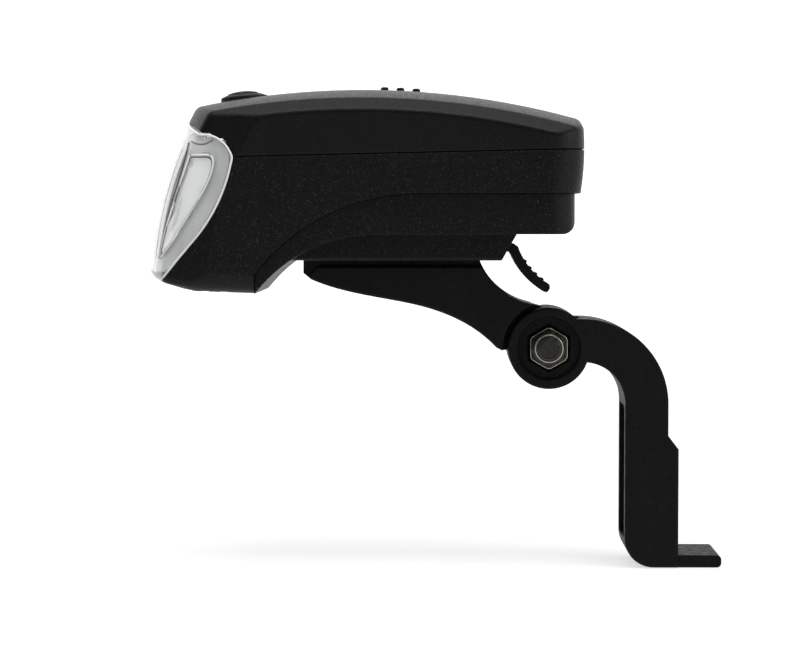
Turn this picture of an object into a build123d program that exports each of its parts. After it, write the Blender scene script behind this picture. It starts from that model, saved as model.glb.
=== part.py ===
from build123d import *
import functools
import math
import os

# Battery headlight for a bicycle on a fork crown bracket. Lengths are in millimetres, angles in degrees.
# X runs from the lamp's nose (minus) to the fork crown (plus), Z is up, and the lamp is even about Y = 0.
# The origin is the centre of the crown bolt's slot, on the face that lies against the fork crown.

# Clearances and cutting
gap = 0.3            # between neighbours that move past each other, and round loose pieces
running_fit = 0.05   # radial, round a pin, shaft or bead that turns
overrun = 2.0        # how far a cutting solid runs past what it cuts
half_way = 0.5       # the middle of an edge lies at this share of its length
reach = 260.0        # half size of a region that only has to be larger than the lamp

# Fork crown bracket
bracket_width = 20.0
bar_thick = 9.6
pad_proud = 2.3          # the crown pad stands out behind the bar
pad_top = 10.7
pad_slope_rise = 3.0
bend_inner_radius = 9.3
bend_height = 20.7
bar_bottom = -15.6
bar_bottom_round = 6.4
foot_length = 9.6
foot_thick = 2.7
foot_side_step = 0.8
foot_round = 1.0
channel_wall = 2.6
channel_back = 2.9       # wall left behind the channel, in front of the pad
channel_bottom = -9.5
channel_top = 20.2
channel_round = 1.6
pad_round = 0.6
bracket_edge_round = 0.5
slot_width = 6.6         # for an M6 crown bolt
slot_length = 19.0

# Tilt joint, on an M5 bolt
pivot_x = -28.8
pivot_z = 33.1
ear_radius = 9.03
knuckle_radius = 9.0
knuckle_width = 8.8
ear_recess_radius = 6.9
ear_recess_depth = 1.6
bolt_radius = 2.5
bolt_hole_radius = 2.65
bolt_head_radius = 4.7
bolt_head_height = 3.0
bolt_socket_flats = 3.0
bolt_socket_depth = 1.8
bolt_end_proud = 0.9
bolt_end_chamfer = 0.55
nut_flats = 8.0
nut_pocket_flats = 9.3
nut_pocket_depth = 2.2
nut_hex_height = 3.4
nut_collar_height = 1.4
nut_collar_radius = 3.7
nut_chamfer = 0.7
ring_radius = 3.15
ring_depth = 1.2

# Holder arm
arm_width = 20.0
arm_reach = 54.4         # from the pivot to the front end of the rail
deck_rise = 19.2         # from the pivot to the deck under the rail
side_wall_drop = 1.0     # the side walls stop this far below the deck
side_wall_setback = 1.6
side_wall_chamfer = 2.0
deck_front_face = 2.6
arm_clear_radius = 10.2  # round the ears
rail_length = 39.2
neck_width = 16.0
neck_height = 1.9
head_width = 23.0
head_height = 1.4
arm_channel_width = 10.8
front_web = 2.2          # ahead of the lever when the lamp is off the rail
window_length = 16.6
hood_height = 10.1
hood_start = 5.2         # ahead of the pivot, from there the hood runs down to the knuckle
hood_end = 1.0
wall_edge_round = 0.6
# The arm's underside: its front end up the deck's rise, then points along the reach from the pivot and up.
under_front_share = 0.797
under_curve_shares = ((0.788, 0.636), (0.631, 0.552), (0.529, 0.492), (0.408, 0.380), (0.215, 0.010))
under_toe_share = (0.183, -0.035)
# Behind the deck, from its edge towards the pivot and from the hood up to the deck.
scoop_middle_share = (0.42, 0.40)

# Outer form of the lamp
lamp_rear_x = -21.45
lamp_front_x = -118.0
side_room = 6.8          # from the cradle's side wall to the lamp's side face
crown_x = -70.2
crown_top = 90.5
crown_radius = 179.7
crown_line_share = 0.848 # the crown lines lie at this share of the half width
crown_line_drop = 2.5    # from the ridge down to the crown lines
shoulder_drop = 5.1      # from the ridge down to the side faces
crown_line_round = 2.2
front_radius = 86.0
front_centre_z = 45.0
front_line_share = 0.887 # the front corner lines lie at this share of the half width
front_bow = 5.0          # from the middle of the front back to its corner lines
wing_depth = 15.0        # from the middle of the front back to the full width
front_corner_round = 2.2
rear_radius = 60.0
rear_centre_z = 77.0
rear_corner_round = 8.0
chin_x = -106.8
chin_z = 46.0
chin_front_rise = 16.3   # degrees, the chin rises to the lens
chin_rear_fall = 1.9     # degrees, and falls a little to the arm
chin_round = 4.5
chin_bend_round = 12.0   # along the bottom, where the nose starts to rise
top_front_round = 2.4
top_rear_round = 1.6

# Seam between cover and body
seam_x = -97.2
seam_z = 75.0
seam_slope = 1.29        # degrees, it rises to the rear

# Walls
cover_wall = 2.0
body_wall = 2.0
lens_wall = 1.8
tray_wall = 2.0

# Vents low in the nose, from its rear to its front
vent_xs = (-100.8, -104.9, -108.5)
vent_length = 1.8
vent_height = 4.0
vent_inner_y = 15.5
vent_outer_y = 19.5

# Lens, seen from the side: its edge runs through these shares of its depth and height.
lens_back_x = -97.6
lens_depth = 20.3
lens_bottom = 48.1
lens_height = 34.9
lens_edge_shares = (
    (0.576, 1.0), (0.350, 0.914), (0.103, 0.868), (0.0, 0.770),
    (0.153, 0.491), (0.453, 0.236), (0.788, 0.0),
)
lens_lip = 1.5           # the lens reaches this far inside the body
lens_lip_wall = 0.9
leaf_depth = 0.4
leaf_shares = (
    (0.458, 0.783), (0.243, 0.783), (0.212, 0.728), (0.404, 0.474), (0.778, 0.181),
    (0.660, 0.453), (0.458, 0.783),
)

# Body and tray
step_z = 67.3            # lower edge of the body
step_start_x = -57.6
step_arc_share = 0.952   # the step line bends over this share of its way to the nose
step_turn = 49.4
nose_back_x = -93.1
tray_inset = 1.5
tray_bottom = 58.4
tray_rear_x = -23.5
tray_corner_round = 6.5
tray_edge_round = 2.9
tray_lip = 1.5
arch_start_x = -66.8
arch_arc_share = 0.943
arch_turn = 48.7

# Shoe under the tray
shoe_width = 30.0
shoe_bottom = 52.6
shoe_front_x = -86.4
shoe_rear_x = -39.4
shoe_rear_slope = 3.3
shoe_slot_roof = 1.7     # over the rail slot, where the arch dips
shoe_edge_round = 0.6

# Release lever
lever_width = 9.8
lever_thick = 1.8
lever_bead_radius = 1.2
lever_bead_lift = 0.4    # over the top of the rail slot
lever_seat_depth = 8.8   # from the shoe's rear face to the bead
lever_length = 19.8      # from the bead to the tip
lever_drop = 11.0
lever_sweep_room = 0.5   # under the lever when the lamp slides off the rail
lever_pocket_roof = 0.3
lever_ridge_radius = 0.35
lever_ridges = 4
latch_width = 13.6
latch_length = 1.4
latch_height = 1.1
latch_setback = 4.8      # from the bead to the middle of the latch
# The finger piece: its outer side, tip and inner side, in shares of the lever's length and drop.
lever_outer_shares = ((0.596, -0.009), (0.640, -0.068), (0.753, -0.445), (0.990, -0.827))
lever_tip_shares = ((1.0, -0.900), (0.955, -1.0), (0.919, -0.973))
lever_inner_shares = ((0.919, -0.973), (0.692, -0.618), (0.561, -0.236), (0.540, -0.173))

# Cover rails and the body's guides
guide_front_x = -99.5
guide_rear_x = -30.5
guide_inset = 3.5        # from the lamp's side face to the guide
guide_height = 3.0       # over the seam
guide_root = 2.0         # under the seam
guide_thick = 1.7
guide_groove_depth = 0.85
rail_height = 0.9
rail_rise = 1.1

# Grip dots on the crown
dot_middle_x = -61.8
dot_pitch = 3.55
dot_radius = 0.9
dot_height = 0.75
dots = 3

# Power button
button_x = -96.8
button_radius = 5.25
button_rise = 1.7        # top of the dome over the crown
button_edge_rise = 0.5
button_disc_radius = 3.3
button_disc_rise = 0.15  # over the dome
button_lean = 0.8        # the dome's top lies this far towards the nose
button_skirt_radius = 6.4
button_skirt_thick = 0.9
button_stem_radius = 1.6
button_travel = 0.8

# Optics
reflector_z = 66.4
reflector_apex_x = -97.0
reflector_focus = 3.3
reflector_wall = 1.2
reflector_front_gap = 5.0    # from the lens's outer face to the rim
reflector_hole_radius = 2.6
led_board_radius = 9.0
led_board_thick = 1.6
led_size = 3.4
led_base_height = 0.9
led_dome_radius = 1.3
led_dome_height = 1.1
sink_base_thick = 2.0
sink_width = 22.0
sink_height = 17.0
fin_length = 5.6
fin_thick = 0.9
fins = 7

# Main board and switch
board_front_x = -101.0
board_length = 13.0
board_side_room = 1.3    # from the board to the guides
board_thick = 1.5
board_lift = 1.9         # from the seam up to the board's underside
switch_size = 6.0
switch_height = 1.8
switch_plunger_radius = 1.5
ledge_thick = 1.4
ledge_depth = 2.6
ledge_setback = 3.5      # from the board's front edge

# Batteries and cradle
cell_radius = 7.1
cell_length = 50.5
cell_nub_radius = 2.6
cell_nub_height = 1.2
cell_pitch = 15.4
cradle_rear_x = -29.3
cell_seat = 0.2
cell_edge_round = 0.6
cradle_floor = 1.4
cradle_wall = 1.2
cradle_side_height = 9.0
cradle_end_height = 13.0
cradle_foot = 0.3
saddle_height = 4.0
saddles = 3
contact_play = 0.1
spring_length = 3.0
contact_width = 9.0
contact_height = 9.0
contact_thick = 0.4
spring_wire = 0.6
spring_radius = 2.8
spring_turns = 3

# Tray screws
screw_x = -26.2
screw_y = 12.5
screw_radius = 1.1
screw_head_radius = 2.0
screw_head_height = 1.6
screw_length = 10.0
post_radius = 2.7
boss_height = 6.0
post_seat = 3.6          # from the tray's underside up to the screw head's seat

# Sizes that follow from the ones above
cradle_width = cell_pitch + 2 * (cell_radius + cell_seat + cradle_wall)
lamp_width = cradle_width + 2 * side_room
board_width = lamp_width - 2 * (guide_inset + guide_thick + board_side_room)
step_radius = step_arc_share * (step_start_x - nose_back_x) / math.sin(math.radians(step_turn))
arch_radius = arch_arc_share * (arch_start_x - nose_back_x) / math.sin(math.radians(arch_turn))
arm_front_x = pivot_x - arm_reach
deck_z = pivot_z + deck_rise
rail_rear_x = arm_front_x + rail_length
head_low_z = deck_z + neck_height
rail_top_z = head_low_z + head_height
slot_top_z = rail_top_z + gap
bead_x = shoe_rear_x - lever_seat_depth
bead_z = slot_top_z + lever_bead_lift
lever_low_z = bead_z - lever_drop
led_board_x = reflector_apex_x + reflector_wall
sink_x = led_board_x + led_board_thick
cell_room = contact_thick + contact_play
cradle_inner_length = cell_length + spring_length + 2 * cell_room
cradle_front_x = cradle_rear_x - 2 * cradle_wall - cradle_inner_length
cradle_low_z = tray_bottom + tray_wall + cradle_foot
cell_z = cradle_low_z + cradle_floor + cell_seat + cell_radius


# Small helpers

def block(x0, x1, y0, y1, z0, z1):
    """A box between two corners."""
    return Pos((x0 + x1) / 2, (y0 + y1) / 2, (z0 + z1) / 2) * Box(x1 - x0, y1 - y0, z1 - z0)


def middle_block(x0, x1, width, z0, z1):
    """A box about Y = 0."""
    return block(x0, x1, -width / 2, width / 2, z0, z1)


def panel(x0, x1, z0, z1):
    """A rectangle of a side view."""
    return Pos((x0 + x1) / 2, (z0 + z1) / 2) * Rectangle(x1 - x0, z1 - z0)


def middle_of(edge):
    return edge.position_at(half_way)


def across(face, width):
    """A side view drawn in X and Z, made into a solid of this width about Y = 0."""
    return extrude(Plane.XZ * face, width / 2, both=True)


def rod_y(x, z, radius, y0, y1):
    """A round bar along Y."""
    return Pos(x, (y0 + y1) / 2, z) * Rot(90, 0, 0) * Cylinder(radius, y1 - y0)


def rod_x(y, z, radius, x0, x1):
    """A round bar along X."""
    return Pos((x0 + x1) / 2, y, z) * Rot(0, 90, 0) * Cylinder(radius, x1 - x0)


def rod_z(x, y, radius, z0, z1):
    """A round bar along Z."""
    return Pos(x, y, (z0 + z1) / 2) * Cylinder(radius, z1 - z0)


def hex_y(x, z, flats, y0, y1):
    """A hexagonal bar along Y with a corner pointing up."""
    outline = Rot(0, 0, 90) * RegularPolygon(flats / math.sqrt(3), 6)
    return Pos(x, y0, z) * Rot(-90, 0, 0) * extrude(outline, y1 - y0)


def both_sides(solid):
    """The solid with its mirror image across Y = 0."""
    return solid + mirror(solid, Plane.XZ)


def shares_at(shares, x0, z0, depth, height):
    """Points of an outline from shares of its depth (towards the nose) and height."""
    return [(x0 - u * depth, z0 + v * height) for u, v in shares]


def on_seam(solid):
    """Moves a solid, drawn about the front of a level seam, onto the sloping one."""
    return Pos(seam_x, 0, seam_z) * Rot(0, -seam_slope, 0) * solid


def seam_height(x):
    """Height of the seam at x."""
    return seam_z + (x - seam_x) * math.tan(math.radians(seam_slope))


# Outer form of the lamp: curved bounds that can all be drawn in by a wall

def turned(face, x, z):
    """A half section, drawn in Y and the radius, turned about the Y line through x, z."""
    section = Plane(origin=(x, 0, z), x_dir=(0, 1, 0), z_dir=(-1, 0, 0)) * face
    return revolve(section, Axis((x, 0, z), (0, 1, 0)), 360)


def barrel(x, z, radius, half, line_half, line_drop, side_drop, line_round):
    """A barrel with a bowed middle between two rounded lines, and sides that slope down past its width."""
    line = radius - line_drop
    slope = (side_drop - line_drop) / (half - line_half)
    wide = half + overrun
    side = line - slope * (wide - line_half)
    edge = Polyline((-wide, 0), (-wide, side), (-line_half, line))
    edge += ThreePointArc((-line_half, line), (0, radius), (line_half, line))
    edge += Polyline((line_half, line), (wide, side), (wide, 0), (-wide, 0))
    face = make_face(edge)
    face = fillet(face.vertices().group_by(Axis.Y)[-1], line_round)
    return turned(face, x, z)


def crown_barrel(inset):
    return barrel(
        crown_x, crown_top - crown_radius, crown_radius - inset, lamp_width / 2 - inset,
        crown_line_share * (lamp_width / 2 - inset), crown_line_drop, shoulder_drop, crown_line_round,
    )


def front_barrel(inset):
    return barrel(
        lamp_front_x + front_radius, front_centre_z, front_radius - inset, lamp_width / 2 - inset,
        front_line_share * (lamp_width / 2 - inset), front_bow, wing_depth, front_corner_round,
    )


def rear_barrel(inset):
    """The lamp's slightly bulging rear with its rounded corners."""
    radius, width = rear_radius - inset, lamp_width - 2 * inset
    face = Pos(0, radius / 2) * Rectangle(width, radius)
    face = fillet(face.vertices().group_by(Axis.Y)[-1], rear_corner_round - inset)
    return turned(face, lamp_rear_x - rear_radius, rear_centre_z)


def belly(angle, inset):
    """The space over a bottom line through the chin, with the rounded lower edges of the lamp."""
    tall = reach / 2
    face = Pos(0, inset + tall / 2) * Rectangle(lamp_width - 2 * inset, tall)
    face = fillet(face.vertices().group_by(Axis.Y)[0], chin_round - inset)
    line = Plane(origin=(chin_x, 0, chin_z), x_dir=(0, 1, 0), z_dir=(1, 0, -math.tan(math.radians(angle))))
    return extrude(line * face, reach, both=True)


@functools.lru_cache(maxsize=None)
def lamp_form(inset):
    """The lamp's outer form, drawn in by inset on every side."""
    form = rear_barrel(inset) & crown_barrel(inset) & front_barrel(inset)
    return form & (belly(chin_front_rise, inset) & belly(chin_rear_fall, inset))


@functools.lru_cache(maxsize=None)
def outer_form():
    """The lamp's outer form with the edges that cross its middle rounded."""
    form = lamp_form(0)
    rounds = (
        ((chin_x, chin_z), chin_bend_round), ((chin_x, crown_top), top_front_round),
        ((lamp_rear_x, crown_top), top_rear_round),
    )
    for spot, radius in rounds:
        middles = [edge for edge in form.edges() if abs(middle_of(edge).Y) < gap]
        near = min(middles, key=lambda edge: math.dist(spot, (middle_of(edge).X, middle_of(edge).Z)))
        form = fillet(near, radius)
    return form


def lens_edge():
    """The S-shaped edge between lens and housing, from the top down."""
    top, knee, bend, back, middle, low, bottom = shares_at(
        lens_edge_shares, lens_back_x, lens_bottom, lens_depth, lens_height)
    curve = Line(top, knee) + ThreePointArc(knee, bend, back) + ThreePointArc(back, middle, low)
    return curve + Line(low, bottom), top, bottom


def front_region():
    """Everything in front of the lens edge, as a side view."""
    curve, top, bottom = lens_edge()
    far = lamp_front_x - lens_depth
    high, deep = top[1] + lens_depth, bottom[1] - lens_depth
    lean = lens_depth / 2
    curve += Polyline(bottom, (bottom[0] - lean, deep), (far, deep), (far, high), (top[0] - lean, high), top)
    return make_face(curve)


def step_line():
    """Lower edge of the body, from its straight part down to the nose."""
    turn = math.radians(step_turn)
    end_x = step_start_x - step_radius * math.sin(turn)
    end_z = step_z - step_radius * (1 - math.cos(turn))
    drop = (end_x - nose_back_x) * math.tan(turn)
    arc = CenterArc((step_start_x, step_z - step_radius), step_radius, 90, step_turn)
    return arc + Line((end_x, end_z), (nose_back_x, end_z - drop)), (nose_back_x, end_z - drop)


def arch_line():
    """Underside of the tray, from its straight part down to the nose."""
    turn = math.radians(arch_turn)
    end_x = arch_start_x - arch_radius * math.sin(turn)
    end_z = tray_bottom - arch_radius * (1 - math.cos(turn))
    drop = (end_x - nose_back_x) * math.tan(turn)
    arc = CenterArc((arch_start_x, tray_bottom - arch_radius), arch_radius, 90, arch_turn)
    return arc + Line((end_x, end_z), (nose_back_x, end_z - drop)), (nose_back_x, end_z - drop)


def above_seam(lift):
    """Side view of everything over the seam, raised by lift."""
    front, rear = lens_back_x - reach, lens_back_x + reach
    return make_face(Polyline(
        (front, seam_height(front) + lift), (rear, seam_height(rear) + lift),
        (rear, seam_z + reach), (front, seam_z + reach), (front, seam_height(front) + lift),
    ))


def body_region():
    """Side view of the body: under the seam and over the step line, with the whole nose."""
    curve, nose = step_line()
    front, rear = lamp_front_x - overrun, lamp_rear_x + overrun
    low = chin_z - lens_depth
    curve += Polyline(
        nose, (nose_back_x, low), (front, low), (front, seam_height(front)),
        (rear, seam_height(rear)), (rear, step_z), (step_start_x, step_z),
    )
    return make_face(curve)


def tray_region():
    """Side view of the tray, between the step line and the arch."""
    upper, nose = step_line()
    lower, toe = arch_line()
    curve = upper + Line(nose, toe) + lower
    corner = (tray_rear_x, tray_bottom)
    curve += Polyline((arch_start_x, tray_bottom), corner, (tray_rear_x, step_z), (step_start_x, step_z))
    face = make_face(curve)
    rear_low = [v for v in face.vertices() if v.X > corner[0] - overrun and v.Y < corner[1] + overrun]
    return fillet(rear_low, tray_edge_round)


def tray_hollow_region():
    """Side view of the tray's inside, open upwards."""
    turn = math.radians(arch_turn)
    radius = arch_radius + tray_wall
    end_x = arch_start_x - radius * math.sin(turn)
    end_z = tray_bottom - arch_radius + radius * math.cos(turn)
    rear, floor, top = tray_rear_x - tray_wall, tray_bottom + tray_wall, step_z + reach
    curve = CenterArc((arch_start_x, tray_bottom - arch_radius), radius, 90, arch_turn)
    curve += Polyline((end_x, end_z), (end_x, top), (rear, top), (rear, floor), (arch_start_x, floor))
    return make_face(curve)


def tray_plan(inset):
    """The tray's plan, drawn in by inset, as a tall block."""
    front, rear = lamp_front_x, tray_rear_x - inset
    face = Pos((front + rear) / 2, 0) * Rectangle(rear - front, lamp_width - 2 * (tray_inset + inset))
    face = fillet(face.vertices().group_by(Axis.X)[-1], tray_corner_round - inset)
    return Pos(0, 0, tray_bottom) * extrude(face, reach / 2, both=True)


# Fork crown bracket and tilt bolt

def fork_bracket():
    rear, front = -pad_proud, -pad_proud - bar_thick
    bend_x, outer = front - bend_inner_radius, bend_inner_radius + bar_thick
    top = bend_height + outer
    upright = panel(front, rear, bar_bottom, bend_height)
    upright = fillet(upright.vertices().sort_by(lambda v: v.X + v.Y)[0], bar_bottom_round)
    middle = (bend_x, bend_height)
    bend = make_face(
        CenterArc(middle, outer, 0, 90) + Line((bend_x, top), (bend_x, top - bar_thick))
        + CenterArc(middle, bend_inner_radius, 0, 90) + Line((front, bend_height), (rear, bend_height))
    )
    beam = panel(pivot_x, bend_x, top - bar_thick, top)
    ears = Pos(pivot_x, pivot_z) * Circle(ear_radius)
    solid = across(upright + bend + beam + ears, bracket_width)

    pad = make_face(Polyline(
        (rear - pad_round, bar_bottom), (0, bar_bottom), (0, pad_top), (rear, pad_top + pad_slope_rise),
        (rear - pad_round, pad_top + pad_slope_rise), (rear - pad_round, bar_bottom),
    ))
    foot = panel(-pad_proud, foot_length, bar_bottom, bar_bottom + foot_thick)
    foot = fillet(foot.vertices().group_by(Axis.X)[-1], foot_round)
    solid += across(pad, bracket_width)
    solid += across(foot, bracket_width - 2 * foot_side_step)

    # room for the knuckle between the ears, and the seats of the bolt
    half = bracket_width / 2
    seat = half - ear_recess_depth
    room = knuckle_width / 2 + gap
    solid -= rod_y(pivot_x, pivot_z, knuckle_radius + 2 * gap, -room, room)
    solid -= rod_y(pivot_x, pivot_z, bolt_hole_radius, -half - overrun, half + overrun)
    solid -= rod_y(pivot_x, pivot_z, ear_recess_radius, -half - overrun, -seat)
    solid -= rod_y(pivot_x, pivot_z, ear_recess_radius, seat, half + overrun)
    solid -= hex_y(pivot_x, pivot_z, nut_pocket_flats, nut_pocket_depth - seat, -seat - overrun)

    # open channel in the front, and the crown bolt's slot through its back
    channel = middle_block(
        front - overrun, rear - channel_back, bracket_width - 2 * channel_wall, channel_bottom, channel_top)
    solid -= fillet(channel.edges().filter_by(Axis.X), channel_round)
    slot = Plane.YZ * (Rot(0, 0, 90) * SlotOverall(slot_length, slot_width))
    solid -= extrude(slot, bar_thick + pad_proud, both=True)
    sides = [edge for edge in solid.edges() if half - abs(middle_of(edge).Y) < pad_round / 2]
    return fillet(sides, bracket_edge_round)


def pivot_bolt():
    """M5 bolt with a round head and a hexagonal socket; its end stands a little out of the nut."""
    seat = bracket_width / 2 - ear_recess_depth
    end = seat - nut_pocket_depth + nut_hex_height + nut_collar_height + bolt_end_proud
    shank = rod_y(pivot_x, pivot_z, bolt_radius, -end, seat)
    shank = chamfer(shank.edges().group_by(Axis.Y)[0], bolt_end_chamfer)
    head = rod_y(pivot_x, pivot_z, bolt_head_radius, seat, seat + bolt_head_height)
    head = fillet(head.edges().group_by(Axis.Y)[-1], bolt_head_height / 2)
    top = seat + bolt_head_height
    return shank + head - hex_y(pivot_x, pivot_z, bolt_socket_flats, top - bolt_socket_depth, top + overrun)


def pivot_nut():
    """Lock nut: a chamfered hexagon with a round collar that holds the nylon ring."""
    base = bracket_width / 2 - ear_recess_depth - nut_pocket_depth
    crown, end = base + nut_hex_height, base + nut_hex_height + nut_collar_height
    corner = nut_flats / math.sqrt(3)
    blank = rod_y(pivot_x, pivot_z, corner, -crown, -base)
    blank = chamfer(blank.edges(), nut_chamfer / 2, nut_chamfer)
    collar = rod_y(pivot_x, pivot_z, nut_collar_radius, -end, -crown)
    collar = fillet(collar.edges().group_by(Axis.Y)[0], nut_chamfer / 2)
    nut = (blank & hex_y(pivot_x, pivot_z, nut_flats, -crown, -base)) + collar
    nut -= rod_y(pivot_x, pivot_z, bolt_radius, -end - overrun, -base + overrun)
    return nut - rod_y(pivot_x, pivot_z, ring_radius, -end - overrun, -end + ring_depth)


def nut_nylon_ring():
    end = bracket_width / 2 - ear_recess_depth - nut_pocket_depth + nut_hex_height + nut_collar_height
    ring = rod_y(pivot_x, pivot_z, ring_radius, -end, -end + ring_depth)
    return ring - rod_y(pivot_x, pivot_z, bolt_radius, -end - overrun, -end + ring_depth + overrun)


# Holder arm

def arm_outline():
    """Side view of the arm under its rail, running into the knuckle."""
    front = (arm_front_x + side_wall_setback, pivot_z + under_front_share * deck_rise)
    *under, toe = shares_at((*under_curve_shares, under_toe_share), pivot_x, pivot_z, arm_reach, deck_rise)
    hood = (pivot_x - hood_start, pivot_z + hood_height)
    hood_low = (pivot_x - hood_end, pivot_z + math.sqrt(knuckle_radius ** 2 - hood_end ** 2))
    # the scoop behind the deck leaves room for a fingertip under the lever
    rise = deck_z - hood[1]
    scoop_middle = (rail_rear_x + rise * scoop_middle_share[0], hood[1] + rise * scoop_middle_share[1])
    nose = (arm_front_x, deck_z - deck_front_face)
    curve = Polyline((rail_rear_x, deck_z), (arm_front_x, deck_z), nose, front)
    curve += Spline(front, *under) + Polyline(under[-1], toe, (pivot_x, pivot_z), hood_low, hood)
    curve += ThreePointArc(hood, scoop_middle, (rail_rear_x, deck_z))
    return make_face(curve)


def holder_arm():
    outline = arm_outline()
    far = pivot_x
    wall_front, wall_top = arm_front_x + side_wall_setback, deck_z - side_wall_drop
    low = pivot_z - arm_reach
    wall_region = make_face(Polyline(
        (wall_front, low), (wall_front, wall_top - side_wall_chamfer),
        (wall_front + side_wall_chamfer, wall_top), (far, wall_top), (far, low), (wall_front, low),
    ))
    walls = across(outline & wall_region, arm_width)
    # only the long edges below and above the walls are rounded
    rims = [edge for edge in walls.edges() if edge.length > arm_width]
    solid = across(outline, neck_width) + fillet(rims, wall_edge_round)
    solid -= rod_y(pivot_x, pivot_z, arm_clear_radius, -arm_width, arm_width)
    solid += middle_block(arm_front_x, rail_rear_x, neck_width, deck_z, head_low_z)
    solid += middle_block(arm_front_x, rail_rear_x, head_width, head_low_z, rail_top_z)
    solid += across(outline + Pos(pivot_x, pivot_z) * Circle(knuckle_radius), knuckle_width)
    solid -= rod_y(pivot_x, pivot_z, bolt_radius + running_fit, -arm_width, arm_width)

    # the middle is open for the lever, which passes through when the lamp slides off
    channel_front = arm_front_x + front_web
    high = rail_top_z + overrun
    solid -= middle_block(arm_front_x - overrun, far, arm_channel_width, deck_z, high)
    solid -= middle_block(channel_front, far, arm_channel_width, lever_low_z - lever_sweep_room, high)
    window_rear = channel_front + window_length
    return solid - middle_block(channel_front, window_rear, arm_channel_width, pivot_z, high)


# Lamp housing

def housing_body():
    walls = (outer_form() - lamp_form(body_wall)) & across(body_region(), lamp_width + overrun)
    walls -= across(front_region(), lamp_width + overrun)
    face_y = lamp_width / 2 - guide_inset
    front, rear = guide_front_x - seam_x, guide_rear_x - seam_x
    web_y = lamp_width / 2 - body_wall / 2
    guide = block(front, rear, face_y - guide_thick, face_y, -guide_root, guide_height)
    guide += block(front, rear, face_y - guide_thick, web_y, -guide_root, -gap)
    groove_low, groove_high = rail_rise - gap, rail_rise + rail_height + gap
    groove_y = face_y - guide_groove_depth
    guide -= block(front - overrun, rear + overrun, groove_y, face_y + overrun, groove_low, groove_high)
    guides = on_seam(both_sides(guide)) - across(front_region(), lamp_width)
    board_low = seam_z + board_lift
    side = face_y - guide_thick + gap
    ledge = block(
        board_front_x + ledge_setback, board_front_x + board_length,
        side - ledge_depth, side, board_low - ledge_thick, board_low)
    boss_low = step_z + tray_lip
    boss = rod_z(screw_x, screw_y, post_radius, boss_low, boss_low + boss_height)
    boss -= rod_z(screw_x, screw_y, screw_radius, boss_low - overrun, boss_low + boss_height + overrun)
    for x in vent_xs:
        low = chin_z - vent_height / 2
        walls -= both_sides(block(x, x + vent_length, vent_inner_y, vent_outer_y, low, low + vent_height))
    return walls + guides + both_sides(ledge) + both_sides(boss)


def bottom_tray():
    region = tray_region()
    lip = tray_plan(body_wall + gap - tray_inset) & across(region + Pos(0, tray_lip) * region, lamp_width)
    case = tray_plan(0) & across(region, lamp_width)
    solid = case + lip
    top = tray_bottom + tray_wall / 2
    slope = shoe_rear_slope * (top - shoe_bottom) / (tray_bottom - shoe_bottom)
    shoe = make_face(Polyline(
        (shoe_front_x, shoe_bottom), (shoe_rear_x, shoe_bottom), (shoe_rear_x + slope, top),
        (shoe_front_x, top), (shoe_front_x, shoe_bottom),
    ))
    shoe = across(shoe, shoe_width)
    solid += fillet(shoe.edges().filter_by(Axis.X).group_by(Axis.Z)[0], shoe_edge_round)
    solid -= tray_plan(tray_wall) & across(tray_hollow_region(), lamp_width)
    slot_front = arm_front_x - gap
    roof = panel(shoe_front_x, arch_start_x, shoe_bottom, slot_top_z + shoe_slot_roof)
    solid += across(roof & tray_cover_region(), head_width + 4 * gap + 2 * tray_wall)

    # the shoe's slot for the rail, and the lever's pocket and bead seat
    rear = shoe_rear_x + 2 * shoe_rear_slope
    low = shoe_bottom - overrun
    solid -= middle_block(slot_front, rear, neck_width + 2 * gap, low, head_low_z)
    solid -= middle_block(slot_front, rear, head_width + 2 * gap, head_low_z - gap, slot_top_z)
    pocket_top = tray_bottom - lever_pocket_roof
    solid -= middle_block(bead_x, rear, lever_width + 2 * gap, head_low_z, pocket_top)
    latch_front = bead_x + latch_setback - latch_length / 2 - gap
    solid -= middle_block(latch_front, rear, latch_width + 2 * gap, head_low_z, pocket_top)
    half = lever_width / 2 + gap
    solid -= rod_y(bead_x, bead_z, lever_bead_radius + running_fit, -half, half)

    # posts for the two screws
    post_top = step_z + tray_lip
    post = rod_z(screw_x, screw_y, post_radius, tray_bottom + tray_wall / 2, post_top)
    post &= tray_plan(body_wall + gap - tray_inset)
    seat = tray_bottom + post_seat
    hole = rod_z(screw_x, screw_y, screw_radius + running_fit, tray_bottom, post_top + overrun)
    hole += rod_z(screw_x, screw_y, screw_head_radius + gap / 2, tray_bottom - overrun, seat)
    return solid + both_sides(post) - both_sides(hole)


def tray_cover_region():
    """Side view of everything over the arch."""
    lower, toe = arch_line()
    high = tray_bottom + reach
    lower += Polyline(toe, (toe[0], high), (arch_start_x, high), (arch_start_x, tray_bottom))
    return make_face(lower)


def tray_screws():
    seat = tray_bottom + post_seat
    screw = rod_z(screw_x, screw_y, screw_radius, seat, seat + screw_length)
    screw += rod_z(screw_x, screw_y, screw_head_radius, seat - screw_head_height, seat)
    return both_sides(screw)


def battery_cover():
    shell = outer_form() - lamp_form(cover_wall)
    shell &= across(above_seam(gap), lamp_width + overrun)
    shell -= across(Pos(gap, gap) * front_region(), lamp_width + overrun)
    groove_y = lamp_width / 2 - guide_inset - guide_groove_depth + gap
    front, rear = guide_front_x - seam_x + overrun, guide_rear_x - seam_x
    rail = block(front, rear, groove_y, lamp_width / 2 - cover_wall / 2, rail_rise, rail_rise + rail_height)
    shell += on_seam(both_sides(rail))
    well = rod_z(button_x, 0, button_radius + gap, seam_z + board_lift, crown_top)
    return shell - well + grip_dots()


def crown_height(x):
    """Height of the crown's ridge at x."""
    return crown_top - crown_radius + math.sqrt(crown_radius ** 2 - (x - crown_x) ** 2)


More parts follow.
